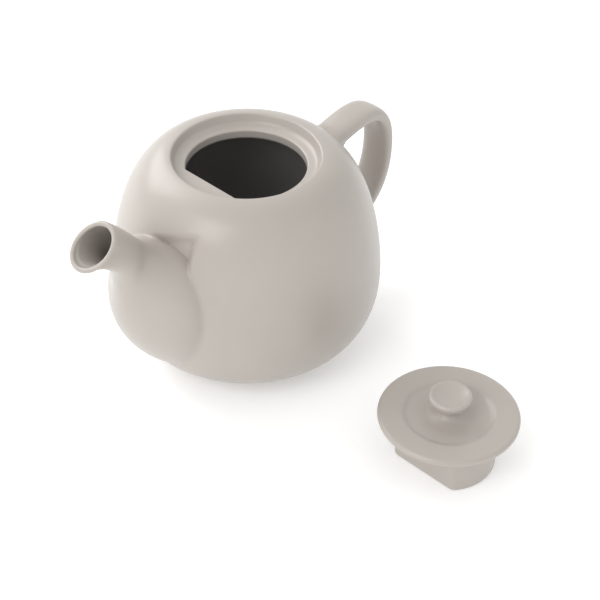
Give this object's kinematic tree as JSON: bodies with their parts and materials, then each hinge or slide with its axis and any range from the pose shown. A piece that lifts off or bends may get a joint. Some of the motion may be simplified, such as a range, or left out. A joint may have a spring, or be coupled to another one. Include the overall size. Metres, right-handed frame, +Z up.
{
  "type": "teapot",
  "caption": "Squat round stoneware teapot with a wide-rooted spout, strap handle and a loose disc lid with a D-shaped collar and mushroom knob, lying beside it.",
  "frame": {"origin": "centre of the pot's foot ring, on the table", "axes": "+Z up, -X towards the spout, +X towards the handle; the lid lies on the -Y side"},
  "size_m": [0.2119, 0.2368, 0.1167],
  "materials": {
    "satin_glaze": "satin"
  },
  "bodies": {
    "pot": {"pot_body": "satin_glaze", "spout": "satin_glaze", "handle": "satin_glaze"},
    "lid": {"lid": "satin_glaze", "lid_knob": "satin_glaze"}
  },
  "joints": [
    {"name": "lid_lift", "type": "slide", "parent": "pot", "child": "lid", "axis": [0, 0, 1], "range_m": [0, 0.15]}
  ]
}
